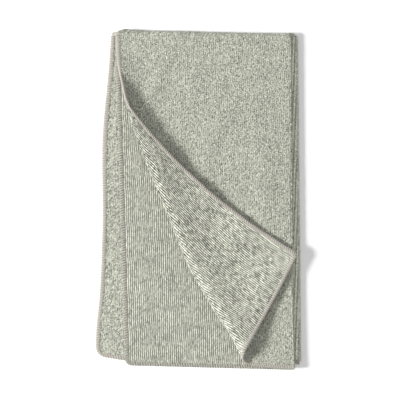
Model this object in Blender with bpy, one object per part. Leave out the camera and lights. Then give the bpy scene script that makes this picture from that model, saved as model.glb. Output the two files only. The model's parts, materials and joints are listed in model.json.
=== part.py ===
"""Golf towel, folded once along its length and once across it, with a corner turned back.

The cloth lies in four plies. From the bottom up they are the back half's under leaf and
over leaf, and the front half's under leaf and over leaf. Long folds run down the right
side of each half, and the cross fold joins the halves along the top. The over leaf's
free corner rolls over and lies on the leaf. A narrow hem of edging thread runs round
every free edge. Metres, +Z up, the cloth flat in XY, its length along Y.
"""
import math

import bmesh
import bpy
from mathutils import Matrix, Vector, geometry

# The flat towel
TOWEL_WIDTH = 0.395
TOWEL_LENGTH = 0.755
CLOTH_THICKNESS = 0.0026
HEM_WIDTH = 0.005
HEM_ROUNDING = 0.0007

# Clearances
PLY_GAP = 0.0003
SEAM_GAP = 0.0003
CORNER_LIFT = 0.0006

# Front half: where its long fold runs, and how much of the width is over leaf
FRONT_LENGTH = 0.375
FRONT_FOLD_TOP_X = 0.1009
FRONT_FOLD_END_X = 0.1045
FRONT_OVER_WIDTH_TOP = 0.195
FRONT_OVER_WIDTH_END = 0.2025
FRONT_END_RISE = 0.005

# Back half, which stands out past the front half on both sides
BACK_FOLD_TOP_X = 0.1087
BACK_FOLD_END_X = 0.1125
BACK_OVER_WIDTH_TOP = 0.2078
BACK_OVER_WIDTH_END = 0.2273
BACK_END_RISE = 0.0055

# Turned-back corner
CORNER_FOLD_DROP = 0.036
CORNER_FOLD_RUN = 0.052
CORNER_ROLL_RADIUS = 0.007
CORNER_ROLL_SETBACK = 0.012
CORNER_HEM_START = 0.075
CORNER_END_SETBACK = 0.0207
CORNER_TIP_ALONG = 0.271
CORNER_TIP_REACH = 0.1035

# Each joint's axis stands beyond its bend, so that the bend has room to straighten
CROSS_AXIS_SHIFT = 0.004
CORNER_AXIS_SHIFT = 0.006

BEND_STEPS = 12
HEM_SEGMENTS = 2

PILE_COLOR = (0.45, 0.46, 0.39, 1.0)
RIB_COLOR = (0.43, 0.44, 0.37, 1.0)
THREAD_COLOR = (0.50, 0.47, 0.40, 1.0)

PLY_PITCH = CLOTH_THICKNESS + PLY_GAP
CROSS_CENTRE_Z = 2 * PLY_PITCH - PLY_GAP / 2
LONG_BEND_RADIUS = PLY_GAP / 2
CROSS_BEND_RADIUS = LONG_BEND_RADIUS + PLY_PITCH
ROLL_INNER_RADIUS = CORNER_ROLL_RADIUS - CLOTH_THICKNESS / 2
OVER_LEAF_Z = 3 * PLY_PITCH
ROLL_CENTRE_Z = OVER_LEAF_Z + CLOTH_THICKNESS + ROLL_INNER_RADIUS


def clear_scene():
    for item in list(bpy.data.objects):
        bpy.data.objects.remove(item, do_unlink=True)


def bend_length(inner_radius):
    """Length of the middle of the cloth round a half-turn bend."""
    return math.pi * (inner_radius + CLOTH_THICKNESS / 2)


def material(name, color, roughness):
    made = bpy.data.materials.new(name)
    made.use_nodes = True
    shader = made.node_tree.nodes["Principled BSDF"]
    shader.inputs["Base Color"].default_value = color
    shader.inputs["Roughness"].default_value = roughness
    shader.inputs["Metallic"].default_value = 0.0
    return made


def add_object(name, bm, color, roughness, parent):
    """Turn a bmesh into a named object of its own, held by the given empty."""
    bmesh.ops.recalc_face_normals(bm, faces=bm.faces[:])
    mesh = bpy.data.meshes.new(name)
    bm.to_mesh(mesh)
    bm.free()
    mesh.materials.append(material(name + "_finish", color, roughness))
    made = bpy.data.objects.new(name, mesh)
    bpy.context.scene.collection.objects.link(made)
    hold(made, parent)
    return made


def hold(child, parent):
    """Parent a piece drawn in the towel's own coordinates, leaving it where it is."""
    child.parent = parent
    child.matrix_parent_inverse = parent.matrix_basis.inverted()


def add_axis(name, location, parent=None):
    made = bpy.data.objects.new(name, None)
    made.location = location
    bpy.context.scene.collection.objects.link(made)
    if parent:
        hold(made, parent)
    return made


def crossing(line_a, line_b):
    """Where two straight lines in the plane meet, each given by two of its points."""
    return geometry.intersect_line_line(*line_a, *line_b)[0]


def edge_line(corners, index, inset):
    """One side of a counter-clockwise outline, moved inwards."""
    start = corners[index % len(corners)]
    end = corners[(index + 1) % len(corners)]
    along = (end - start).normalized()
    inwards = Vector((-along.y, along.x, 0.0)) * inset
    return start + inwards, end + inwards


def inset_outline(corners, insets):
    """The outline with each side moved inwards by its own amount."""
    lines = [edge_line(corners, i, inset) for i, inset in enumerate(insets)]
    return [crossing(lines[i - 1], lines[i]) for i in range(len(lines))]


def hem_outline(corners, index, start_gap, end_gap):
    """A strip of hem along one side, cut at its neighbours' lines."""
    outer = edge_line(corners, index, 0.0)
    inner = edge_line(corners, index, HEM_WIDTH)
    before = edge_line(corners, index - 1, start_gap)
    after = edge_line(corners, index + 1, end_gap)
    return [
        crossing(before, outer),
        crossing(after, outer),
        crossing(after, inner),
        crossing(before, inner),
    ]


def slab_mesh(outline, bottom):
    """A flat piece of cloth with the given outline, standing on a height."""
    bm = bmesh.new()
    rim = [bm.verts.new((p.x, p.y, bottom)) for p in outline]
    face = bm.faces.new(rim)
    grown = bmesh.ops.extrude_face_region(bm, geom=[face])
    raised = [g for g in grown["geom"] if isinstance(g, bmesh.types.BMVert)]
    bmesh.ops.translate(bm, verts=raised, vec=(0.0, 0.0, CLOTH_THICKNESS))
    return bm


def add_panel(name, outline, bottom, parent, placement=None):
    bm = slab_mesh(outline, bottom)
    if placement:
        bm.transform(placement)
    return add_object(name, bm, PILE_COLOR, 0.95, parent)


def add_hem(name, outline, bottom, parent, placement=None):
    bm = slab_mesh(outline, bottom)
    if placement:
        bm.transform(placement)
    made = add_object(name, bm, THREAD_COLOR, 0.7, parent)
    rounding = made.modifiers.new("rounding", "BEVEL")
    rounding.width = HEM_ROUNDING
    rounding.segments = HEM_SEGMENTS
    rounding.limit_method = "ANGLE"
    return made


def add_bend(name, start, end, inner_radius, turn, parent, color=PILE_COLOR):
    """Cloth turned about the line from start to end, from below it to above it.

    It bulges to the left-hand side of the way from start to end.
    """
    axis = (end - start).normalized()
    bm = bmesh.new()
    section = [
        start - Vector((0.0, 0.0, inner_radius)),
        end - Vector((0.0, 0.0, inner_radius)),
        end - Vector((0.0, 0.0, inner_radius + CLOTH_THICKNESS)),
        start - Vector((0.0, 0.0, inner_radius + CLOTH_THICKNESS)),
    ]
    face = bm.faces.new([bm.verts.new(p) for p in section])
    bmesh.ops.spin(
        bm,
        geom=[face, *face.edges, *face.verts],
        cent=start,
        axis=axis,
        angle=turn,
        steps=BEND_STEPS,
        use_duplicate=False,
    )
    made = add_object(name, bm, color, 0.95, parent)
    made.data.shade_smooth()
    made.data.set_sharp_from_angle(angle=math.radians(40))
    return made


def half_outline(fold_top_x, fold_end_x, width_top, width_end, length, end_rise):
    """Corners of a leaf: side at the cross fold, side end, long fold end, long fold top."""
    rise_per_metre = end_rise / width_end
    side_end_x = fold_end_x - width_end
    side_end_y = -length + rise_per_metre * width_end
    return [
        Vector((fold_top_x - width_top, 0.0, 0.0)),
        Vector((side_end_x, side_end_y, 0.0)),
        Vector((fold_end_x, -length, 0.0)),
        Vector((fold_top_x, 0.0, 0.0)),
    ]


def add_leaf(name, corners, bottom, parent):
    """A leaf held at the long fold and the cross fold, with a hem at its side and end."""
    hem_inset = HEM_WIDTH + SEAM_GAP
    panel = inset_outline(corners, [hem_inset, hem_inset, SEAM_GAP, SEAM_GAP])
    add_panel(name + "_panel", panel, bottom, parent)
    side = hem_outline(corners, 0, SEAM_GAP, 0.0)
    add_hem(name + "_side_hem", side, bottom, parent)
    end = hem_outline(corners, 1, hem_inset, SEAM_GAP)
    add_hem(name + "_end_hem", end, bottom, parent)


def add_cut_leaf(name, corners, fold_start, fold_end, bottom, parent):
    """The over leaf as far as the line where its corner rolls over."""
    hem_inset = HEM_WIDTH + SEAM_GAP
    outline = [corners[0], fold_start, fold_end, corners[2], corners[3]]
    panel = inset_outline(outline, [hem_inset, SEAM_GAP, hem_inset, SEAM_GAP, SEAM_GAP])
    add_panel(name + "_panel", panel, bottom, parent)
    side = hem_outline(outline, 0, SEAM_GAP, SEAM_GAP)
    add_hem(name + "_side_hem", side, bottom, parent)
    end = hem_outline(outline, 2, SEAM_GAP, SEAM_GAP)
    add_hem(name + "_end_hem", end, bottom, parent)


def corner_slope():
    """How steeply the turned-back corner comes down, so that its tip rests on the leaf."""
    drop = 2 * CORNER_ROLL_RADIUS - PLY_PITCH - CORNER_LIFT
    return math.atan(drop / CORNER_TIP_REACH)


def add_corner(fold_start, fold_end, slope, leaf_parent, corner_parent):
    """The roll along the diagonal fold, and the corner lying beyond it."""
    fold = fold_end - fold_start
    along = fold.normalized()
    across = Vector((-along.y, along.x, 0.0))
    lift = Vector((0.0, 0.0, ROLL_CENTRE_Z))
    setback = along * CORNER_ROLL_SETBACK
    add_bend(
        "corner_roll",
        fold_end + lift - setback,
        fold_start + lift + setback,
        ROLL_INNER_RADIUS,
        math.pi + slope,
        leaf_parent,
        RIB_COLOR,
    )

    frame = Matrix((along, across, Vector((0.0, 0.0, 1.0)))).transposed().to_4x4()
    placement = Matrix.Translation(fold_start + lift) @ frame @ Matrix.Rotation(-slope, 4, "X")
    corners = [
        Vector((CORNER_HEM_START, 0.0, 0.0)),
        Vector((fold.length - CORNER_END_SETBACK, 0.0, 0.0)),
        Vector((CORNER_TIP_ALONG, CORNER_TIP_REACH, 0.0)),
    ]
    hem_inset = HEM_WIDTH + SEAM_GAP
    panel = inset_outline(corners, [SEAM_GAP, hem_inset, hem_inset])
    add_panel("corner_panel", panel, ROLL_INNER_RADIUS, corner_parent, placement)
    end = hem_outline(corners, 1, SEAM_GAP, hem_inset)
    add_hem("corner_end_hem", end, ROLL_INNER_RADIUS, corner_parent, placement)
    side = hem_outline(corners, 2, 0.0, SEAM_GAP)
    add_hem("corner_side_hem", side, ROLL_INNER_RADIUS, corner_parent, placement)


def add_long_fold(name, corners, centre_z, parent):
    """The bend joining a half's two leaves, from its end up to the cross fold."""
    top = Vector((corners[3].x, -SEAM_GAP, centre_z))
    end = Vector((corners[2].x, corners[2].y, centre_z))
    add_bend(name, top, end, LONG_BEND_RADIUS, math.pi, parent)


def main():
    clear_scene()
    long_turn = bend_length(LONG_BEND_RADIUS)
    back_length = TOWEL_LENGTH - FRONT_LENGTH - bend_length(CROSS_BEND_RADIUS)
    front_over = half_outline(
        FRONT_FOLD_TOP_X,
        FRONT_FOLD_END_X,
        FRONT_OVER_WIDTH_TOP,
        FRONT_OVER_WIDTH_END,
        FRONT_LENGTH,
        FRONT_END_RISE,
    )
    front_under = half_outline(
        FRONT_FOLD_TOP_X,
        FRONT_FOLD_END_X,
        TOWEL_WIDTH - FRONT_OVER_WIDTH_TOP - long_turn,
        TOWEL_WIDTH - FRONT_OVER_WIDTH_END - long_turn,
        FRONT_LENGTH,
        FRONT_END_RISE,
    )
    back_over = half_outline(
        BACK_FOLD_TOP_X,
        BACK_FOLD_END_X,
        BACK_OVER_WIDTH_TOP,
        BACK_OVER_WIDTH_END,
        back_length,
        BACK_END_RISE,
    )
    back_under = half_outline(
        BACK_FOLD_TOP_X,
        BACK_FOLD_END_X,
        TOWEL_WIDTH - BACK_OVER_WIDTH_TOP - long_turn,
        TOWEL_WIDTH - BACK_OVER_WIDTH_END - long_turn,
        back_length,
        BACK_END_RISE,
    )

    # The corner's fold line crosses the over leaf from its side to its end
    side_run = (front_over[1] - front_over[0]).normalized()
    end_run = (front_over[1] - front_over[2]).normalized()
    fold_start = front_over[0] + side_run * CORNER_FOLD_DROP
    fold_end = front_over[2] + end_run * CORNER_FOLD_RUN
    fold = (fold_end - fold_start).normalized()
    outwards = Vector((fold.y, -fold.x, 0.0))
    corner_place = fold_start + outwards * CORNER_AXIS_SHIFT
    corner_place.z = ROLL_CENTRE_Z

    cross_place = Vector((0.0, CROSS_AXIS_SHIFT, CROSS_CENTRE_Z))
    towel = add_axis("towel", Vector())
    cross_axis = add_axis("cross_fold_axis", cross_place, towel)
    corner_axis = add_axis("corner_fold_axis", corner_place, cross_axis)

    add_leaf("back_under", back_under, 0.0, towel)
    add_leaf("back_over", back_over, PLY_PITCH, towel)
    add_long_fold("back_long_fold", back_over, PLY_PITCH - PLY_GAP / 2, towel)
    add_leaf("front_under", front_under, 2 * PLY_PITCH, cross_axis)
    add_cut_leaf("front_over", front_over, fold_start, fold_end, OVER_LEAF_Z, cross_axis)
    add_long_fold("front_long_fold", front_over, OVER_LEAF_Z - PLY_GAP / 2, cross_axis)

    # The cross fold's two bends, one inside the other
    fold_bulge = LONG_BEND_RADIUS + CLOTH_THICKNESS
    inner_left = Vector((back_over[0].x, 0.0, CROSS_CENTRE_Z))
    outer_left = Vector((front_over[0].x, 0.0, CROSS_CENTRE_Z))
    bend_right = Vector((back_over[3].x + fold_bulge, 0.0, CROSS_CENTRE_Z))
    add_bend("cross_fold_inner", inner_left, bend_right, LONG_BEND_RADIUS, math.pi, towel)
    add_bend("cross_fold_outer", outer_left, bend_right, CROSS_BEND_RADIUS, math.pi, towel)

    add_corner(fold_start, fold_end, corner_slope(), cross_axis, corner_axis)

    # The origin is under the middle of the folded towel
    plies = front_over + front_under + back_over + back_under
    left = min(p.x for p in plies)
    right = max(p.x for p in plies) + fold_bulge
    end = min(p.y for p in plies)
    top = CROSS_BEND_RADIUS + CLOTH_THICKNESS
    towel.location = Vector((left + right, end + top, 0.0)) / -2
    bpy.context.view_layer.update()


main()
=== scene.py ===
import json
import math

import bmesh
import bpy
import numpy as np
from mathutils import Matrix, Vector


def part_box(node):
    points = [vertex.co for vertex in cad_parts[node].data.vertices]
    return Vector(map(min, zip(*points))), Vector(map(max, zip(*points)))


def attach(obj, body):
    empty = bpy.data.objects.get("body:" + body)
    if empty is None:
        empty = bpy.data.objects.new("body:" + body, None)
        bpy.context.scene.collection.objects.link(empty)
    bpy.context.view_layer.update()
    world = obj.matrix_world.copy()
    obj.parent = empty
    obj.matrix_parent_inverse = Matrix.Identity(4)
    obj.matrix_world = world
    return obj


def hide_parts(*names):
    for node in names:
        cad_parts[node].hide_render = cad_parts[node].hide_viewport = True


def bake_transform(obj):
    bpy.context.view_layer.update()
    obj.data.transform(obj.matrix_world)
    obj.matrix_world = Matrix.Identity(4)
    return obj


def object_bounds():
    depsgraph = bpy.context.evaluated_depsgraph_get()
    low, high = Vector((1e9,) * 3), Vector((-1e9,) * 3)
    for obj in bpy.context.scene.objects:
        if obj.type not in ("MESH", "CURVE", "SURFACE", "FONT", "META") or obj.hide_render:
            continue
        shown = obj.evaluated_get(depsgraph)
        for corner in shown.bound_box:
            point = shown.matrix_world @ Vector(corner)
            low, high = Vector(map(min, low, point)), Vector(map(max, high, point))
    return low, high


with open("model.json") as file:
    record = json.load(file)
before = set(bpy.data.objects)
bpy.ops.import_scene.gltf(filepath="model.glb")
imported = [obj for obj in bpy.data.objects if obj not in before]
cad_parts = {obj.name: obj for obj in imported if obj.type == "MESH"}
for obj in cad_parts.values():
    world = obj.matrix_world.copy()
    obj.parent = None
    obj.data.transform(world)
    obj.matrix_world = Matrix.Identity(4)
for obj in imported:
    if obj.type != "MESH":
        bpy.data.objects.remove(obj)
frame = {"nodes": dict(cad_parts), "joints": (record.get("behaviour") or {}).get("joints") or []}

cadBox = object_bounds()
nodes = frame["nodes"]
rng = np.random.default_rng(11)
print("frame loaded:", len(nodes), "nodes")

# what the cloth is, in metres
cloth = {
    "thick": 0.0026,
    "walePitch": 0.00225,
    "waleWander": 0.30,    # how far the rows stray, in rows
    "waleTurns": (130, 60),
    "waleDepth": 0.0003,
    "loopLong": 0.0014,
    "tuftDepth": 0.0003,
    "napDepth": 0.0009,
    "ribPitch": 0.00222,
    "ribDepth": 0.00080,
    "ribWander": 0.16,
    "ribTurns": (160, 90),
    "stitchLong": 0.0026,
    "lowStitch": 0.7,      # the lowest stitch of a rib, against the highest
    "sunk": 0.0004,        # how far the loops and ribs are let into the cloth
    "cornerRadius": 0.006,
}

# grid steps, across then along
steps = {
    "pile": (0.00075, 0.0009),
    "pileWide": (0.0009, 0.0012),
    "pileHidden": (0.0018, 0.0022),
    "ribs": (0.00055, 0.0018),
    "plain": (0.006, 0.006),
}

# soft wrinkles: centre x and y, direction in degrees, half length, half width, height
wrinkles = [
    (-0.050, 0.127, 62, 0.022, 0.007, 0.0021),
    (-0.019, 0.136, 12, 0.024, 0.007, 0.0017),
    (0.010, 0.060, 70, 0.060, 0.016, 0.0014),
    (0.070, 0.020, 95, 0.070, 0.014, 0.0013),
    (-0.070, 0.022, 75, 0.030, 0.007, 0.0012),
    (-0.062, -0.090, 84, 0.050, 0.010, 0.0010),
    (-0.020, -0.130, 70, 0.034, 0.009, 0.0009),
    (-0.0868, 0.1025, 41, 0.006, 0.0013, -0.0009),
    (-0.1014, -0.0594, 98, 0.016, 0.0014, -0.0010),
    (-0.0952, -0.0850, 110, 0.011, 0.0014, -0.0010),
]
# the top leaf alone is also drawn up a little beside its turned corner
overWrinkles = [(-0.0620, 0.0760, -49, 0.045, 0.0125, 0.0036)]
# wrinkles die out between these distances from the towel's edges
wrinkleFade = (0.004, 0.02)


def smooth(low, high, x):
    t = np.clip((x - low) / (high - low), 0, 1)
    return t * t * (3 - 2 * t)


def ridge(x, y, wrinkle):
    cx, cy, turn, halfLong, halfWide, height = wrinkle
    c, s = math.cos(math.radians(turn)), math.sin(math.radians(turn))
    along = (x - cx) * c + (y - cy) * s
    across = -(x - cx) * s + (y - cy) * c
    return height * np.exp(-(along / halfLong) ** 2 - (across / halfWide) ** 2)


def settle(x, y, extra=()):
    # how far the wrinkles raise the cloth
    low, high = cadBox
    inside = np.minimum(np.minimum(x - low.x, high.x - x), np.minimum(y - low.y, high.y - y))
    return sum(ridge(x, y, w) for w in [*wrinkles, *extra]) * smooth(*wrinkleFade, inside)


def cornersOf(*names):
    # the outermost points of some nodes, clockwise from the top left
    xy = np.array([v.co.xy for n in names for v in nodes[n].data.vertices])
    picks = [(-1, 1), (1, 1), (1, -1), (-1, -1)]
    return [xy[(xy @ np.array(p)).argmax()] for p in picks]


def lineCross(p, d, q, e):
    # where p + t d meets q + u e
    t = ((q[0] - p[0]) * e[1] - (q[1] - p[1]) * e[0]) / (d[0] * e[1] - d[1] * e[0])
    return p + t * d


def leafFrom(part):
    # a leaf's outer corners in the same order, and the height of its middle
    names = [part + "_panel", part + "_side_hem", part + "_end_hem"]
    topLeft, _, bottomRight, bottomLeft = cornersOf(*names)
    _, topRight, _, _ = cornersOf(part + "_panel")
    low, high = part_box(part + "_panel")
    return {
        "corners": [topLeft, topRight, bottomRight, bottomLeft],
        "z": (low.z + high.z) / 2,
    }


# the corner's fold, read from its joint
cornerJoint = next(j for j in frame["joints"] if j["name"] == "corner_fold")
corner = {
    "axisBeyond": 0.006,    # from the joint's axis to where the roll starts
    "radius": 0.007,
    "startRadius": 0.0032,  # half the roll's width where the curl starts
    "widens": (0.045, 0.115),
    "liftHigh": 0.0042,     # the cloth is drawn up beside the roll
    "liftRises": (-0.055, 0.03),
    "liftEnds": (0.2, 0.07),
    "liftAt": 0.004,
    "liftWide": 0.015,
    "endShift": 0.0114,     # how far the end hem slips up round the roll
    "fall": 0.0112,         # how far the tip comes down from the top of the roll
    "fallOver": 0.045,
    "fallStart": 0.012,
    "bowFade": 0.04,
    "bowRounding": 0.003,
    # how far right of the straight fold line the roll's middle runs, along the fold
    "bow": [(-0.04, 0.0), (0.0, 0.0035), (0.012, 0.0042), (0.028, 0.003), (0.046, -0.0019),
            (0.075, -0.0029), (0.113, -0.0028), (0.16, -0.0039), (0.235, -0.006),
            (0.268, -0.0024), (0.302, 0.0018), (0.325, 0.007), (0.35, 0.008)],
    # the hem and the end hem on the turned corner: start, pull and finish, along and across
    "hemCurve": [(0.0484, -0.0022), (0.166, 0.0268), (0.271, 0.104)],
    "endCurve": [(0.347, 0.0078), (0.313, 0.057), (0.274, 0.1035)],
    "waveHigh": 0.0010,
    "waveTurns": (95, 40),  # along and across, in radians a metre
    "waveStarts": (0, 0.25),
    "waveEnds": (1, 0.8),
    # two heights above the leaf's middle
    "hingeFrom": 0.0035,
    "hingeTo": 0.013,
}
foldAlong = np.array(cornerJoint["axis"][:2]) / np.linalg.norm(cornerJoint["axis"][:2])
foldAcross = np.array([-foldAlong[1], foldAlong[0]])
foldStart = np.array(cornerJoint["pos_m"][:2]) + foldAcross * corner["axisBeyond"]
rollLength = math.pi * corner["radius"]

leafs = {name: leafFrom(name) for name in ("front_under", "back_over", "back_under")}
topLeft, _, _, _ = cornersOf("front_over_panel", "front_over_side_hem")
_, _, bottomRight, bottomLeft = cornersOf("front_over_panel", "front_over_end_hem")
_, panelRight, _, _ = cornersOf("front_over_panel")
hemLine = foldStart - topLeft
endLine = bottomLeft - bottomRight
tip = lineCross(topLeft, hemLine, bottomRight, endLine)
leafs["front_over"] = {
    "corners": [topLeft, panelRight, bottomRight, tip],
    "z": sum(v.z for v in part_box("front_over_panel")) / 2,
}
for name, leaf in leafs.items():
    print(name, [np.round(c, 4).tolist() for c in leaf["corners"]], round(leaf["z"], 5))

hemUnit = (tip - topLeft) / np.linalg.norm(tip - topLeft)
hemSlope = abs(hemUnit @ foldAcross) / abs(hemUnit @ foldAlong)
tipDepth = -float((tip - foldStart) @ foldAcross)
tipAlong = float((tip - foldStart) @ foldAlong)
endUnit = (bottomRight - tip) / np.linalg.norm(bottomRight - tip)
endSlope = float(endUnit @ foldAlong) / float(endUnit @ foldAcross)


def bezier(points, t):
    a, b, c = (np.array(p) for p in points)
    t = t[:, None]
    return a * (1 - t) ** 2 + b * 2 * t * (1 - t) + c * t * t


def bowAt(along):
    # the bow, rounded by averaging over a short stretch
    xs, ys = zip(*corner["bow"])
    shifts = [k * corner["bowRounding"] for k in range(-3, 4)]
    return sum(np.interp(along + shift, xs, ys) for shift in shifts) / len(shifts)


def depthOf(xy):
    # how far past the fold line a point of the flat leaf lies
    return -(xy - foldStart) @ foldAcross


def foldCorner(xy):
    # middle of the top leaf once its corner is turned back
    z0 = leafs["front_over"]["z"]
    along = (xy - foldStart) @ foldAlong
    depth = depthOf(xy)
    radius = corner["radius"]
    hemAlong = depth / hemSlope
    endAlong = tipAlong + (tipDepth - depth) * endSlope
    share = np.clip((along - hemAlong) / np.maximum(endAlong - hemAlong, 1e-5), 0, 1)
    turned = np.clip(depth / rollLength, 0, 1)
    slip = along - corner["endShift"] * share * turned
    lift = corner["liftHigh"] * smooth(*corner["liftRises"], along) * smooth(*corner["liftEnds"], along)
    lift = lift * np.exp(-((depth - corner["liftAt"]) / corner["liftWide"]) ** 2)
    # the flap isn't lifted
    lift = lift * smooth(rollLength, rollLength / 2, depth)
    flatBow = bowAt(slip) * np.exp(np.minimum(depth, 0) / corner["bowFade"])
    angle = turned * math.pi
    wider = smooth(*corner["widens"], slip)
    half = corner["startRadius"] + (radius - corner["startRadius"]) * wider
    across = np.where(depth < 0, -depth + flatBow, flatBow - half * np.sin(angle))
    z = z0 + radius * (1 - np.cos(angle)) + lift
    past = depth > rollLength
    down = np.clip((depth - rollLength) / (tipDepth - rollLength), 0, 1)
    left = bezier(corner["hemCurve"], down)
    right = bezier(corner["endCurve"], down)
    placed = left + (right - left) * share[:, None]
    # the flap starts on the bowed roll, not on the straight line between its two curves
    (hemAt, hemOut), (endAt, endOut) = corner["hemCurve"][0], corner["endCurve"][0]
    firstAlong = hemAt + share * (endAt - hemAt)
    chord = hemOut + share * (endOut - hemOut)
    placed[:, 1] += (bowAt(firstAlong) - chord) * (1 - down) ** 2
    reach = np.maximum(placed[:, 1] - bowAt(placed[:, 0]), 0)
    run = reach ** 2 / (reach + corner["fallStart"])
    flapZ = z0 + 2 * radius - corner["fall"] * (1 - np.exp(-run / corner["fallOver"])) + lift
    turnsAlong, turnsAcross = corner["waveTurns"]
    wave = np.sin(placed[:, 0] * turnsAlong + placed[:, 1] * turnsAcross) * np.sin(math.pi * down) ** 2
    waving = smooth(*corner["waveStarts"], down) * smooth(*corner["waveEnds"], down)
    flapZ = flapZ - corner["waveHigh"] * (1 + wave) * waving
    slip = np.where(past, placed[:, 0], slip)
    across = np.where(past, placed[:, 1], across)
    z = np.where(past, flapZ, z)
    flat = foldStart + slip[:, None] * foldAlong + across[:, None] * foldAcross
    z = z + np.where(past, 0, settle(flat[:, 0], flat[:, 1], overWrinkles)) * (1 - turned)
    return np.column_stack([flat, z])


# where the lower half's side bows outwards: centre, half length and reach
sideBows = [(0.072, 0.070, 0.0055), (-0.152, 0.034, 0.0026)]
sideBowWide = 0.045
# how its end hem slopes, from the left side as far in as it shows
endTilt = {"long": 0.030, "wide": 0.028, "left": 0.0012, "right": -0.0030}


def lieFlat(height, share, bowed=False):
    # middle of a plain leaf, which lies on the ones below; the lower half's is bowed
    def place(xy):
        x, y = xy[:, 0], xy[:, 1]
        if bowed:
            fromSide = x - cadBox[0].x
            out = sum(reach * np.exp(-((y - centre) / long) ** 2) for centre, long, reach in sideBows)
            end = min(at[1] for at in leafs["back_over"]["corners"])
            slope = np.interp(fromSide, [0, endTilt["wide"]], [endTilt["left"], endTilt["right"]])
            x = x - out * smooth(sideBowWide, 0.0, fromSide)
            y = y + slope * smooth(endTilt["long"], 0.0, y - end)
        return np.column_stack([x, y, height + share * settle(x, y)])
    return place


def offSurface(place, xy, off):
    # points moved off the middle of the cloth, square to it
    near = 0.0002
    middle = place(xy)
    run = place(xy + (near, 0)) - place(xy - (near, 0))
    rise = place(xy + (0, near)) - place(xy - (0, near))
    normal = np.cross(run, rise)
    normal /= np.maximum(np.linalg.norm(normal, axis=1), 1e-12)[:, None]
    return middle + normal * off[:, None]


# random values that the reliefs and the edging share
lotSize = 512
lot = rng.random((lotSize, lotSize))
lotUse = {"slide": 7, "stitch": 11}    # the columns drawn on for single values
mostSlide = 40


def patchwork(column, row):
    # a random value for each column, passing evenly from row to row
    column = np.floor(column).astype(int) % lotSize
    row = row + lot[column, lotUse["slide"]] * mostSlide
    low = np.floor(row).astype(int)
    t = smooth(0, 1, row - low)
    return lot[column, low % lotSize] * (1 - t) + lot[column, (low + 1) % lotSize] * t


# how strongly each part of the relief shows as light and dark: painted shade that darkens the low parts
# of the relief, mixed with tone that differs at random
pileShade = {"middle": 0.5, "wale": 0.40, "loop": 0.25, "nap": 1.05}
ribShade = {"valley": 0.08, "rib": 0.60, "stitch": 0.30, "nap": 0.42, "napInValley": 0.4}
plainShade = 0.55


def strayingColumn(x, y, kind):
    # which row a point is in, counted across the cloth; the rows aren't quite straight
    turnsY, turnsX = cloth[kind + "Turns"]
    return x / cloth[kind + "Pitch"] + cloth[kind + "Wander"] * np.sin(y * turnsY + x * turnsX)


def pileRelief(x, y):
    # loops in upright rows, each of its own height
    column = strayingColumn(x, y, "wale")
    loop = patchwork(column, y / cloth["loopLong"])
    wale = 0.5 + 0.5 * np.cos(2 * math.pi * (column % 1 - 0.5))
    nap = rng.random(len(x))
    high = (cloth["waleDepth"] * (wale - 0.5) + cloth["tuftDepth"] * (loop - 0.5)
            + cloth["napDepth"] * (nap - 0.5))
    # painted shade: the pile is darker where its wales, loops and nap stand low; the nap also varies
    # its tone at random
    shade = (pileShade["middle"] + pileShade["wale"] * (wale - 0.5) + pileShade["loop"] * (loop - 0.5)
             + pileShade["nap"] * (nap - 0.5))
    return high, shade


def ribRelief(x, y):
    # raised ribs, broken up into stitches of uneven length
    column = strayingColumn(x, y, "rib")
    rib = 0.5 + 0.5 * np.cos(2 * math.pi * (column % 1 - 0.5))
    stitch = patchwork(column, y / cloth["stitchLong"])
    nap = rng.random(len(x))
    low = cloth["lowStitch"]
    high = cloth["ribDepth"] * (rib - 0.5) * (low + (1 - low) * stitch)
    # painted shade: the ribs are darkest in the valleys between them and on low stitches; the nap adds
    # random tone
    uneven = ribShade["stitch"] * (stitch - 0.5) + ribShade["nap"] * (nap - 0.5)
    return high, ribShade["valley"] + ribShade["rib"] * rib + uneven * (ribShade["napInValley"] + rib)


def plainRelief(x, y):
    return np.zeros(len(x)), np.full(len(x), plainShade)


reliefs = {"pile": pileRelief, "pileWide": pileRelief, "pileHidden": pileRelief,
           "ribs": ribRelief, "plain": plainRelief}


def gridFaces(nx, ny, first, flip):
    i, j = np.meshgrid(np.arange(nx), np.arange(ny), indexing="ij")
    a = first + i * (ny + 1) + j
    quad = np.stack([a, a + ny + 1, a + ny + 2, a + 1], axis=-1).reshape(-1, 4)
    return quad[:, ::-1] if flip else quad


def rimOf(nx, ny, first):
    # the grid's outline once round, with how far round each point is
    left = [(0, j, j / ny) for j in range(ny)]
    far = [(i, ny, 1 + i / nx) for i in range(nx)]
    right = [(nx, j, 3 - j / ny) for j in range(ny, 0, -1)]
    near = [(i, 0, 4 - i / nx) for i in range(nx, 0, -1)]
    ring = left + far + right + near
    return [first + i * (ny + 1) + j for i, j, _ in ring], [along for _, _, along in ring]


def stitchRims(upper, lower):
    # triangles between two outlines with different numbers of points
    (a, sa), (b, sb) = upper, lower
    a, sa, b, sb = a + [a[0]], sa + [4.0], b + [b[0]], sb + [4.0]
    faces, i, j = [], 0, 0
    while i < len(a) - 1 or j < len(b) - 1:
        if j == len(b) - 1 or (i < len(a) - 1 and sa[i + 1] <= sb[j + 1]):
            faces.append((a[i], a[i + 1], b[j]))
            i += 1
        else:
            faces.append((a[i], b[j + 1], b[j]))
            j += 1
    return faces


# how the relief dies out: from and to, measured from the nearest hem or fold
slabFade = {
    "ribsAtHem": (0.0035, 0.0065),
    "pileAtHem": (0.0005, 0.0030),
    "atFold": (0, 0.0015),
    "thinAtHem": (0.003, 0.0075),
    "thinShare": 0.6,       # of the half thickness, under the edging of a ribbed face
}


def leafGrid(corners, relief):
    # how wide and tall a leaf is, and how many steps its grid has across and along
    across, down = steps[relief]
    wide = np.linalg.norm(corners[1] - corners[0])
    tall = np.linalg.norm(corners[3] - corners[0])
    return wide, tall, max(4, round(wide / across)), max(4, round(tall / down))


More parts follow.
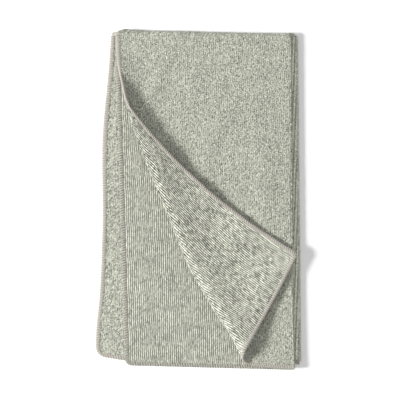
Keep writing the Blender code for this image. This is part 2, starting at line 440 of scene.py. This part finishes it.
def flatSlab(corners, up, down):
    # a closed slab in the flat: points (x, y, off the middle), shade, cloth coordinates, faces
    topLeft, topRight, bottomRight, bottomLeft = corners
    points, shades, places, faces, rims, first = [], [], [], [], [], 0
    for relief, side in ((up, 1), (down, -1)):
        wide, tall, nx, ny = leafGrid(corners, relief)
        a, b = np.meshgrid(np.linspace(0, 1, nx + 1), np.linspace(0, 1, ny + 1), indexing="ij")
        a, b = a.ravel(), b.ravel()
        xy = (np.outer((1 - a) * (1 - b), topLeft) + np.outer(a * (1 - b), topRight)
              + np.outer(a * b, bottomRight) + np.outer((1 - a) * b, bottomLeft))
        here = wide * (1 - b) + np.linalg.norm(bottomRight - bottomLeft) * b
        clothX, clothY = a * here, b * tall
        high, shade = reliefs[relief](clothX, clothY)
        atFold = np.minimum((1 - a) * wide, b * tall)
        atHem = np.minimum(a * wide, (1 - b) * tall)
        half = cloth["thick"] / 2 - (0 if relief == "plain" else cloth["sunk"])
        if relief == "ribs":
            high = high * smooth(*slabFade["ribsAtHem"], atHem)
            thin = slabFade["thinShare"]
            half = half * (thin + (1 - thin) * smooth(*slabFade["thinAtHem"], atHem))
        else:
            high = high * smooth(*slabFade["pileAtHem"], atHem)
        high = high * smooth(*slabFade["atFold"], atFold)
        points.append(np.column_stack([xy, side * (half + high)]))
        shades.append(shade)
        places.append(np.column_stack([clothX, clothY]))
        faces += gridFaces(nx, ny, first, side > 0).tolist()
        rims.append(rimOf(nx, ny, first))
        first += (nx + 1) * (ny + 1)
    faces += stitchRims(*rims)
    return np.vstack(points), np.concatenate(shades), np.vstack(places), faces


def meshFrom(name, points, shade, clothXY, faces, material):
    mesh = bpy.data.meshes.new(name)
    mesh.from_pydata(points.tolist(), [], faces)
    shadeLayer = mesh.attributes.new("shade", "FLOAT", "POINT")
    shadeLayer.data.foreach_set("value", shade.astype(np.float32))
    loops = np.zeros(len(mesh.loops), np.int32)
    mesh.loops.foreach_get("vertex_index", loops)
    clothLayer = mesh.uv_layers.new(name="cloth")
    clothLayer.data.foreach_set("uv", clothXY[loops].astype(np.float32).ravel())
    mesh.materials.append(material)
    mesh.shade_smooth()
    piece = bpy.data.objects.new(name, mesh)
    bpy.context.scene.collection.objects.link(piece)
    return piece


def mendNormals(piece):
    bm = bmesh.new()
    bm.from_mesh(piece.data)
    bmesh.ops.recalc_face_normals(bm, faces=bm.faces[:])
    bm.to_mesh(piece.data)
    bm.free()


def cutAway(piece, at, outward):
    # takes off what lies beyond a line across a flat piece, and closes the cut
    bm = bmesh.new()
    bm.from_mesh(piece.data)
    everything = bm.verts[:] + bm.edges[:] + bm.faces[:]
    cut = bmesh.ops.bisect_plane(bm, geom=everything, dist=1e-7, clear_outer=True,
                                 plane_co=(*at, 0), plane_no=(*outward, 0))
    openEdges = [g for g in cut["geom_cut"] if isinstance(g, bmesh.types.BMEdge) and g.is_boundary]
    bmesh.ops.edgeloop_fill(bm, edges=openEdges)
    bm.to_mesh(piece.data)
    bm.free()


# how far in the point of a corner is cut, as a share of its radius
tipCut = 0.55


def cutTip(piece, corners, radius):
    # takes the sharp point off the flat corner
    point = corners[3]
    inward = (corners[1] - point) / np.linalg.norm(corners[1] - point)
    cutAway(piece, point + inward * radius * tipCut, -inward)


def foldPiece(piece, place):
    # lays a flat piece where the folded cloth has it
    co = np.zeros(len(piece.data.vertices) * 3)
    piece.data.vertices.foreach_get("co", co)
    co = co.reshape(-1, 3)
    co = offSurface(place, co[:, :2], co[:, 2])
    piece.data.vertices.foreach_set("co", co.astype(np.float32).ravel())
    piece.data.update()
    mendNormals(piece)


# dark is the brightness of the deepest relief, against the finish's own colour: how deep the painted
# shade in the relief's hollows goes
finishes = {
    "pile": {"color": (0.455, 0.466, 0.387), "dark": 0.30, "speckle": 0.42, "speckleSize": 0.0011,
             "rough": 0.96, "sheen": 0.30, "bump": 0.35},
    "ribs": {"color": (0.565, 0.576, 0.482), "dark": 0.24, "speckle": 0.28, "speckleSize": 0.0012,
             "rough": 0.88, "sheen": 0.18, "bump": 0.30},
    "thread": {"color": (0.434, 0.409, 0.360), "dark": 0.46, "speckle": 0.14, "speckleSize": 0.0010,
               "rough": 0.70, "sheen": 0.15, "bump": 0.25},
    # the edging that the pile grows over
    "threadInPile": {"color": (0.396, 0.388, 0.333), "dark": 0.20, "speckle": 0.34,
                     "speckleSize": 0.0018, "rough": 0.85, "sheen": 0.20, "bump": 0.35},
}
# what all of them share; the noises come out between the two values of noiseSpan
finishShared = {
    "sheenRough": 0.6,
    "specular": 0.18,
    "lightest": 1.12,
    "cloudScale": 28,
    "cloud": 0.045,
    "noiseSpan": (0.3, 0.7),
    "bumpDeep": 0.0005,
}


def clothFinish(name, look):
    # colour = tint x relief shade x fine speckle x broad clouds; the relief shade is painted light and
    # shade, with some random tone
    made = bpy.data.materials.new(name)
    made.use_nodes = True
    tree = made.node_tree
    shader = tree.nodes["Principled BSDF"]
    shader.inputs["Roughness"].default_value = look["rough"]
    shader.inputs["Sheen Weight"].default_value = look["sheen"]
    shader.inputs["Sheen Roughness"].default_value = finishShared["sheenRough"]
    shader.inputs["Specular IOR Level"].default_value = finishShared["specular"]
    uv = tree.nodes.new("ShaderNodeUVMap")
    uv.uv_map = "cloth"
    shade = tree.nodes.new("ShaderNodeAttribute")
    shade.attribute_name = "shade"
    speckle = tree.nodes.new("ShaderNodeTexNoise")
    speckle.inputs["Scale"].default_value = 1 / look["speckleSize"]
    speckle.inputs["Detail"].default_value = 2
    patches = tree.nodes.new("ShaderNodeTexNoise")
    patches.inputs["Scale"].default_value = finishShared["cloudScale"]
    patches.inputs["Detail"].default_value = 3
    # the shade attribute's painted light and shade, mapped to a brightness
    depth = tree.nodes.new("ShaderNodeMapRange")
    # the shade may pass 1
    depth.clamp = False
    depth.inputs["To Min"].default_value = look["dark"]
    depth.inputs["To Max"].default_value = finishShared["lightest"]
    grain = tree.nodes.new("ShaderNodeMapRange")
    cloud = tree.nodes.new("ShaderNodeMapRange")
    for spread, amount in ((grain, look["speckle"]), (cloud, finishShared["cloud"])):
        spread.inputs["From Min"].default_value = finishShared["noiseSpan"][0]
        spread.inputs["From Max"].default_value = finishShared["noiseSpan"][1]
        spread.inputs["To Min"].default_value = 1 - amount
        spread.inputs["To Max"].default_value = 1 + amount
    first = tree.nodes.new("ShaderNodeMath")
    first.operation = "MULTIPLY"
    second = tree.nodes.new("ShaderNodeMath")
    second.operation = "MULTIPLY"
    tint = tree.nodes.new("ShaderNodeVectorMath")
    tint.operation = "SCALE"
    tint.inputs[0].default_value = look["color"]
    bump = tree.nodes.new("ShaderNodeBump")
    bump.inputs["Strength"].default_value = look["bump"]
    bump.inputs["Distance"].default_value = finishShared["bumpDeep"]
    link = tree.links.new
    link(uv.outputs["UV"], speckle.inputs["Vector"])
    link(uv.outputs["UV"], patches.inputs["Vector"])
    link(shade.outputs["Fac"], depth.inputs["Value"])
    link(speckle.outputs["Fac"], grain.inputs["Value"])
    link(patches.outputs["Fac"], cloud.inputs["Value"])
    link(depth.outputs["Result"], first.inputs[0])
    link(grain.outputs["Result"], first.inputs[1])
    link(first.outputs["Value"], second.inputs[0])
    link(cloud.outputs["Result"], second.inputs[1])
    link(second.outputs["Value"], tint.inputs["Scale"])
    link(tint.outputs["Vector"], shader.inputs["Base Color"])
    link(speckle.outputs["Fac"], bump.inputs["Height"])
    link(bump.outputs["Normal"], shader.inputs["Normal"])
    return made


pileFinish = clothFinish("towelPile", finishes["pile"])
ribFinish = clothFinish("towelRibs", finishes["ribs"])
threadFinish = clothFinish("edgingThread", finishes["thread"])
sunkThreadFinish = clothFinish("edgingInPile", finishes["threadInPile"])
finishOf = {"pile": pileFinish, "pileWide": pileFinish, "pileHidden": pileFinish,
            "ribs": ribFinish, "plain": ribFinish}
print("finishes made")


def twoFaces(piece, upFinish, downFinish, upFaces):
    # the second finish goes on the faces of the under side
    piece.data.materials.clear()
    piece.data.materials.append(upFinish)
    piece.data.materials.append(downFinish)
    index = np.ones(len(piece.data.polygons), np.int32)
    index[:upFaces] = 0
    piece.data.polygons.foreach_set("material_index", index)


# painted light and shade that the relief alone doesn't give, on the face seen at rest
paintedLeafLight = {
    "pivot": 0.4,           # the shade that a stronger contrast leaves alone
    "strip": (0.096, 0.101),
    "stripPitch": 0.0036,
    "stripRows": 1.5,
    "end": (0.06, -0.14),
    "rollPaintedShade": 0.24,
}


def sheetLeaf(name, leaf, look):
    # one leaf of cloth in the flat; contrast, strip and end say how much painted light and shade is put
    # into its shade
    up, down = look["up"], look["down"]
    points, shade, clothXY, faces = flatSlab(leaf["corners"], up, down)
    _, _, nx, ny = leafGrid(leaf["corners"], up)
    upper = np.arange(len(points)) < (nx + 1) * (ny + 1)
    ribbed = upper if up == "ribs" else ~upper
    # painted shade: a stronger contrast deepens the ribbed face's painted hollows
    strong = paintedLeafLight["pivot"] + (shade - paintedLeafLight["pivot"]) * look.get("contrast", 1)
    shade = np.where(ribbed, strong, shade)
    # painted light: the strip beside the long fold is lighter, in rows
    rows = 1 + paintedLeafLight["stripRows"] * np.cos(2 * math.pi * clothXY[:, 0] / paintedLeafLight["stripPitch"])
    shade = shade + upper * smooth(*paintedLeafLight["strip"], points[:, 0]) * look.get("strip", 0) * rows
    # painted light: the ribbed face is lighter towards the flap's end
    shade = shade + ribbed * look.get("end", 0) * smooth(*paintedLeafLight["end"], points[:, 1])
    # painted shade: the ribbed face is darker over the roll
    if down == "ribs":
        rollTurn = math.pi * np.clip(depthOf(points[:, :2]) / rollLength, 0, 1)
        shade = shade - ribbed * paintedLeafLight["rollPaintedShade"] * np.sin(rollTurn) ** 2
    piece = meshFrom(name, points, shade, clothXY, faces, finishOf[up])
    twoFaces(piece, finishOf[up], finishOf[down], nx * ny)
    return piece


def sizeOf(leaf):
    a, b, c, d = leaf["corners"]
    wide = (np.linalg.norm(b - a) + np.linalg.norm(c - d)) / 2
    tall = (np.linalg.norm(d - a) + np.linalg.norm(c - b)) / 2
    return float(wide), float(tall)


def areaOf(corners):
    x, y = np.array(corners).T
    return abs(float(np.dot(x, np.roll(y, -1)) - np.dot(y, np.roll(x, -1)))) / 2


# the plain leaves: relief above and below, body, how much of the wrinkles they take; strip is painted
# light, contrast deepens the painted relief shade
leafLook = {
    "back_under": {"up": "plain", "down": "pileHidden", "body": "back_half", "share": 0.0},
    "back_over": {"up": "pileWide", "down": "plain", "body": "back_half", "share": 0.35,
                  "strip": 0.45, "cornerRadius": 0.011},
    "front_under": {"up": "ribs", "down": "pileHidden", "body": "front_half", "share": 0.2,
                    "contrast": 1.25, "cornerRadius": 0.008},
}
for name, look in leafLook.items():
    leaf = leafs[name]
    piece = sheetLeaf(name + "_cloth", leaf, look)
    if "cornerRadius" in look:
        cutTip(piece, leaf["corners"], look["cornerRadius"])
    foldPiece(piece, lieFlat(leaf["z"], look["share"], name == "back_over"))
    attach(piece, look["body"])
    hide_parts(name + "_panel")
    print("leaf", name, len(piece.data.polygons), "faces")

# the top leaf, cut into leaf, roll and flap between these distances past the fold line
# the flap's ribbed face: a strong contrast deepens its painted relief shade, and end adds painted light
# towards the tip
flapLook = {"up": "pileWide", "down": "ribs", "contrast": 2.2, "end": 0.12}
overCut = {
    "front_over_cloth": ({"up": "pile", "down": "plain"}, None, 0.0, "front_half", "front_over_panel"),
    "corner_roll_cloth": (flapLook, 0.0, rollLength, None, "corner_roll"),
    "corner_cloth": (flapLook, rollLength, None, "turned_corner", "corner_panel"),
}
for name, (look, above, below, body, node) in overCut.items():
    leaf = leafs["front_over"]
    piece = sheetLeaf(name, leaf, look)
    if above is not None:
        cutAway(piece, foldStart - foldAcross * above, foldAcross)
    if below is not None:
        cutAway(piece, foldStart - foldAcross * below, -foldAcross)
    if body == "turned_corner":
        cutTip(piece, leaf["corners"], cloth["cornerRadius"])
    foldPiece(piece, foldCorner)
    if body:
        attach(piece, body)
    else:
        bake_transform(piece)
    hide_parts(node)
    print("over leaf part", name, len(piece.data.polygons), "faces")


bends = {}
# how far the folds stand out, against a plain half round, from one end to the other
standOut = {
    "cross_fold_outer_cloth": [(0, 1.50), (0.04, 1.50), (0.14, 1.15), (0.30, 1.10), (0.55, 0.75),
                               (0.9, 0.42), (1, 0.50)],
    "cross_fold_inner_cloth": [(0, 2.5), (0.03, 2.1), (0.07, 1.0), (1, 0.7)],
}
plainBend = [(0, 1), (1, 1)]
# the relief dies out over this share of the turn at either edge
bendFade = 0.08
# painted light on the outer face of the back long fold
paintedBendLight = {"back_long_fold_cloth": 0.40}


def bendCloth(name, upEdge, lowEdge, outward, radius, outer, inner, heights, body, node):
    # a half turn of cloth from one edge to the other, fine outside and plain inside
    upEdge, lowEdge, outward = np.array(upEdge), np.array(lowEdge), np.array(outward)
    long = np.linalg.norm(upEdge[1] - upEdge[0])
    turnLong = math.pi * radius
    halfThick = cloth["thick"] / 2
    outness = standOut.get(name, plainBend)

    def middle(run, turn):
        a = upEdge[0] + (upEdge[1] - upEdge[0]) * run[:, None]
        b = lowEdge[0] + (lowEdge[1] - lowEdge[0]) * run[:, None]
        half, centre = (a - b) / 2, (a + b) / 2
        angle = math.pi / 2 - math.pi * turn
        out = radius * np.cos(angle) * np.interp(run, *zip(*outness))
        return centre + half * np.sin(angle)[:, None] + outward * out[:, None]

    points, shades, places, faces, rims, first = [], [], [], [], [], 0
    for relief, side in ((outer, 1), (inner, -1)):
        across, down = steps[relief]
        nx = max(6, round(long / across))
        ny = 8 if relief == "plain" else max(8, round((turnLong + math.pi * halfThick) / down))
        a, b = np.meshgrid(np.linspace(0, 1, nx + 1), np.linspace(0, 1, ny + 1), indexing="ij")
        a, b = a.ravel(), b.ravel()
        high, shade = reliefs[relief](a * long, b * turnLong)
        high = high * smooth(0, bendFade, np.minimum(b, 1 - b))
        near = 1e-4
        run = middle(a + near, b) - middle(a - near, b)
        rise = middle(a, b + near) - middle(a, b - near)
        normal = np.cross(run, rise)
        normal /= np.linalg.norm(normal, axis=1)[:, None]
        if normal[len(normal) // 2] @ outward < 0:
            normal = -normal
        sunk = 0 if relief == "plain" else cloth["sunk"]
        points.append(middle(a, b) + normal * (side * (halfThick - sunk + high))[:, None])
        shades.append(shade)
        places.append(np.column_stack([a * long, b * turnLong]))
        faces += gridFaces(nx, ny, first, side > 0).tolist()
        rims.append(rimOf(nx, ny, first))
        first += (nx + 1) * (ny + 1)
    faces += stitchRims(*rims)
    # painted light, on the outer face only
    shades[0] = shades[0] + paintedBendLight.get(name, 0)
    piece = meshFrom(name, np.vstack(points), np.concatenate(shades), np.vstack(places), faces,
                     finishOf[outer])
    mendNormals(piece)
    if body:
        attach(piece, body)
    else:
        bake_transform(piece)
    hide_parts(node)
    bends[name] = (middle, long, turnLong, heights)
    print("fold", name, len(piece.data.polygons), "faces")


def edgeAt(leafName, first, second):
    leaf = leafs[leafName]
    return [(*leaf["corners"][k], leaf["z"]) for k in (first, second)]


# upper leaf, lower leaf, body and node
longBends = {
    "front_long_fold_cloth": ("front_over", "front_under", "front_half", "front_long_fold"),
    "back_long_fold_cloth": ("back_over", "back_under", "back_half", "back_long_fold"),
}
for name, (upper, lower, body, node) in longBends.items():
    half = (leafs[upper]["z"] - leafs[lower]["z"]) / 2
    bendCloth(name, edgeAt(upper, 1, 2), edgeAt(lower, 1, 2), (1, 0, 0), half, "pileWide", "plain",
              None, body, node)
# upper leaf, lower leaf, outer relief and node
crossBends = {
    "cross_fold_outer_cloth": ("front_over", "back_under", "pileWide", "cross_fold_outer"),
    "cross_fold_inner_cloth": ("front_under", "back_over", "ribs", "cross_fold_inner"),
}
for name, (upper, lower, relief, node) in crossBends.items():
    heights = (leafs[lower]["z"], leafs[upper]["z"])
    half = (heights[1] - heights[0]) / 2
    bendCloth(name, edgeAt(upper, 0, 1), edgeAt(lower, 0, 1), (0, 1, 0), half, relief, "plain",
              heights, None, node)


# the overlocked edging
edging = {
    "width": 0.0054,
    "height": 0.0030,
    "over": 0.0006,         # how far the thread stands out past the cloth
    "squareWide": 0.7,      # below 1 the section is squarer than an ellipse
    "squareHigh": 0.8,
    "stitch": 0.0028,       # from one stitch to the next
    "strokeDepth": 0.00042,
    "strokeLeast": 0.35,    # the palest stitch, against the strongest
    "step": 0.00055,
    "arcSteps": 14,
    "sides": 12,
    "aroundUV": 0.0012,
    "lowRun": 0.64,         # how high the front under leaf's edging is, against the others
}


def hemPath(corners, radius):
    # down the side, round the corner and along the end, in even steps
    topLeft, _, bottomRight, point = corners
    upUnit = (topLeft - point) / np.linalg.norm(topLeft - point)
    endUnit = (bottomRight - point) / np.linalg.norm(bottomRight - point)
    startArc, endArc = point + upUnit * radius, point + endUnit * radius
    arc = bezier((startArc, point, endArc), np.linspace(0, 1, edging["arcSteps"]))
    line = np.vstack([topLeft[None], arc, bottomRight[None]])
    along = np.concatenate([[0], np.cumsum(np.linalg.norm(np.diff(line, axis=0), axis=1))])
    at = np.linspace(0, along[-1], round(along[-1] / edging["step"]) + 1)
    return np.stack([np.interp(at, along, line[:, k]) for k in (0, 1)], axis=1), at


def hemBead(name, path, at, place, finish=threadFinish, tall=1.0):
    # a flat bead of thread over the cloth's edge, its stitches slanting round it
    sides = edging["sides"]
    tangent = np.gradient(path, axis=0)
    tangent /= np.linalg.norm(tangent, axis=1)[:, None]
    outward = np.column_stack([tangent[:, 1], -tangent[:, 0]])
    phi = np.linspace(0, 2 * math.pi, sides, endpoint=False)
    c, s = np.cos(phi), np.sin(phi)
    reach = np.sign(c) * np.abs(c) ** edging["squareWide"] * edging["width"] / 2
    reach = reach - edging["width"] / 2 + edging["over"]
    high = np.sign(s) * np.abs(s) ** edging["squareHigh"] * edging["height"] / 2 * tall
    stroke = np.cos(2 * math.pi * at[:, None] / edging["stitch"] + 2 * phi[None, :])
    swell = edging["strokeDepth"] * stroke * tall
    offset = reach[None, :] + swell * c[None, :]
    xy = path[:, None, :] + outward[:, None, :] * offset[:, :, None]
    off = high[None, :] + swell * s[None, :]
    co = offSurface(place, xy.reshape(-1, 2), off.ravel())
    n = len(path)
    faces = []
    for i in range(n - 1):
        for k in range(sides):
            m = (k + 1) % sides
            faces.append((i * sides + k, i * sides + m, (i + 1) * sides + m, (i + 1) * sides + k))
    faces.append(tuple(range(sides)))
    faces.append(tuple((n - 1) * sides + k for k in range(sides)))
    # painted shade in the grooves between the stitches, each stitch's of its own random strength
    stitches = lot[np.floor(at / edging["stitch"]).astype(int) % lotSize, lotUse["stitch"]]
    least = edging["strokeLeast"]
    stroke = stroke * (least + (1 - least) * stitches[:, None])
    clothXY = np.column_stack([np.repeat(at, sides), np.tile(phi * edging["aroundUV"], n)])
    piece = meshFrom(name, co, (stroke.ravel() + 1) / 2, clothXY, faces, finish)
    mendNormals(piece)
    return piece


for name in ("back_under", "back_over", "front_under"):
    look, sunken = leafLook[name], name == "front_under"
    path, at = hemPath(leafs[name]["corners"], look.get("cornerRadius", cloth["cornerRadius"]))
    place = lieFlat(leafs[name]["z"], look["share"], name == "back_over")
    bead = hemBead(name + "_edging", path, at, place, sunkThreadFinish if sunken else threadFinish,
                   edging["lowRun"] if sunken else 1.0)
    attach(bead, look["body"])
    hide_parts(name + "_side_hem", name + "_end_hem")
    print("edging", name, len(path), "steps")

for name in ("cross_fold_outer", "cross_fold_inner"):
    middle, long, turnLong, heights = bends[name + "_cloth"]
    at = np.linspace(0, turnLong, max(12, round(turnLong / edging["step"])))
    path = np.column_stack([np.zeros(len(at)), -at])
    bead = hemBead(name + "_edging", path, at,
                   lambda xy: middle(xy[:, 0] / long, -xy[:, 1] / turnLong))
    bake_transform(bead)
    print("edging", name, len(path), "steps")

# the top leaf's edging runs from leaf to roll to flap, and back over the roll to the leaf
path, at = hemPath(leafs["front_over"]["corners"], cloth["cornerRadius"])
depths = depthOf(path)
zone = np.where(depths < 0, 0, np.where(depths < rollLength, 1, 2))
stops = [0] + [i for i in range(1, len(zone)) if zone[i] != zone[i - 1]] + [len(zone)]
runs = {
    "front_over_side_edging": ("front_over_side_hem",),
    "corner_roll_side_edging": (),
    "corner_edging": ("corner_side_hem", "corner_end_hem"),
    "corner_roll_end_edging": (),
    "front_over_end_edging": ("front_over_end_hem",),
}
for (name, hidden), start, stop in zip(runs.items(), stops, stops[1:]):
    stop = min(stop + 1, len(path))
    bead = hemBead(name, path[start:stop], at[start:stop], foldCorner)
    if zone[start] == 1:
        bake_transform(bead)
    else:
        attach(bead, "turned_corner" if zone[start] == 2 else "front_half")
    if hidden:
        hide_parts(*hidden)
    print("edging", name, stop - start, "steps")

# each leaf as the share of the one sheet that it is
foldEnd = foldStart + foldAlong * (tipAlong + tipDepth * endSlope)
leafArea = areaOf([*leafs["front_over"]["corners"][:3], foldEnd, foldStart])
cornerArea = areaOf([foldStart, foldEnd, tip])
beyondRoll = (1 - rollLength / tipDepth) ** 2
foldLong = float(np.linalg.norm(foldEnd - foldStart))
cutSizes = {name + "_cloth": (sizeOf(leafs[name]), None) for name in leafLook}
cutSizes["front_over_cloth"] = (sizeOf(leafs["front_over"]), leafArea)
cutSizes["corner_roll_cloth"] = ((rollLength, foldLong), cornerArea * (1 - beyondRoll))
cutSizes["corner_cloth"] = ((tipDepth - rollLength, foldLong), cornerArea * beyondRoll)

studio = {
    "floor": 3.0,
    "floorAt": -0.0010,
    "floorColor": 0.93,
    "floorRough": 0.9,
    "sky": 0.40,
    "frameWide": 0.448,
    "lens": 100,
    "sensor": 36,
    "cameraX": 0.0002,
    "focusAt": 0.010,       # the height at which the frame is frameWide across
}

bpy.ops.object.select_all(action="DESELECT")
bpy.ops.mesh.primitive_plane_add(size=studio["floor"], location=(0, 0, studio["floorAt"]))
floor = bpy.context.object
floor.name = "floor"
floorFinish = bpy.data.materials.new("paleFloor")
floorFinish.use_nodes = True
floorShader = floorFinish.node_tree.nodes["Principled BSDF"]
floorShader.inputs["Base Color"].default_value = (*[studio["floorColor"]] * 3, 1)
floorShader.inputs["Roughness"].default_value = studio["floorRough"]
floor.data.materials.append(floorFinish)

world = bpy.data.worlds.new("studio")
bpy.context.scene.world = world
world.use_nodes = True
sky = world.node_tree.nodes["Background"]
sky.inputs["Color"].default_value = (1, 1, 1, 1)
sky.inputs["Strength"].default_value = studio["sky"]

# where, size in metres, power in watts
lamps = {
    "keyLeft": ((-2.40, -0.21, 1.58), 0.72, 128),
    "fillTop": ((0.2, 0.1, 1.7), 1.4, 8),
}
for name, (where, size, power) in lamps.items():
    bpy.ops.object.light_add(type="AREA", location=where)
    lamp = bpy.context.object
    lamp.name = name
    lamp.data.size = size
    lamp.data.energy = power
    lamp.rotation_euler = (-Vector(where)).to_track_quat("-Z", "Y").to_euler()

bpy.ops.object.camera_add(location=(0, 0, 0))
camera = bpy.context.object
camera.data.lens = studio["lens"]
camera.data.sensor_width = studio["sensor"]
distance = studio["frameWide"] * studio["lens"] / studio["sensor"]
camera.location = (studio["cameraX"], 0.0, distance + studio["focusAt"])
bpy.context.scene.camera = camera
bpy.context.scene.view_settings.view_transform = "Standard"
print("stage set")
